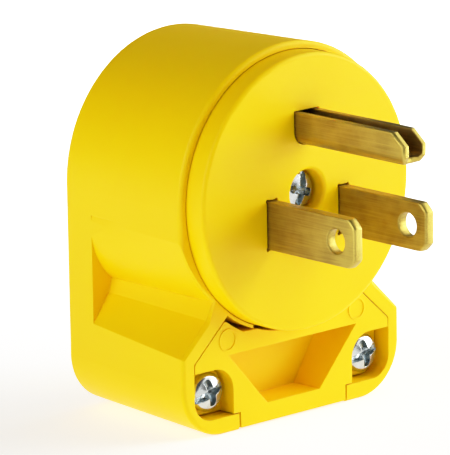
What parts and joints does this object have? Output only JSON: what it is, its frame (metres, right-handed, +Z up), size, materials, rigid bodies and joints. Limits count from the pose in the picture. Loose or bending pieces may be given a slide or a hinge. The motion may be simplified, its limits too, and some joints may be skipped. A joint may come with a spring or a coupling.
{
  "type": "type b plug",
  "caption": "Rewireable angle plug with two flat blades and a U-shaped ground pin in a round face, a D-shaped housing with finger grips, and a cord clamp at the bottom.",
  "frame": {"origin": "centre of the round mating face, on its front plane and on the centre screw's axis", "axes": "-Y along the blades, out of the face; +Z up, from the cord clamp to the ground pin; +X to the right seen from the front"},
  "size_m": [0.0388, 0.0467, 0.0501],
  "materials": {
    "yellow_plastic": "satin moulded",
    "carrier_plastic": "moulded",
    "brass": "rolled and stamped",
    "zinc_steel": "bright zinc plated",
    "green_steel": "green coated"
  },
  "bodies": {
    "root": {"housing": "yellow_plastic", "face_disc": "yellow_plastic", "blade_carrier": "carrier_plastic", "neutral_blade": "brass", "line_blade": "brass", "ground_pin": "brass", "neutral_terminal_screw": "zinc_steel", "line_terminal_screw": "brass", "ground_terminal_screw": "green_steel", "neutral_wire_plate": "brass", "line_wire_plate": "brass", "ground_wire_plate": "brass", "center_screw": "zinc_steel", "center_insert": "brass", "cord_clamp": "yellow_plastic", "rear_cord_grip": "yellow_plastic", "clamp_screw_left": "zinc_steel", "clamp_screw_right": "zinc_steel", "clamp_nut_left": "zinc_steel", "clamp_nut_right": "zinc_steel"}
  },
  "joints": []
}
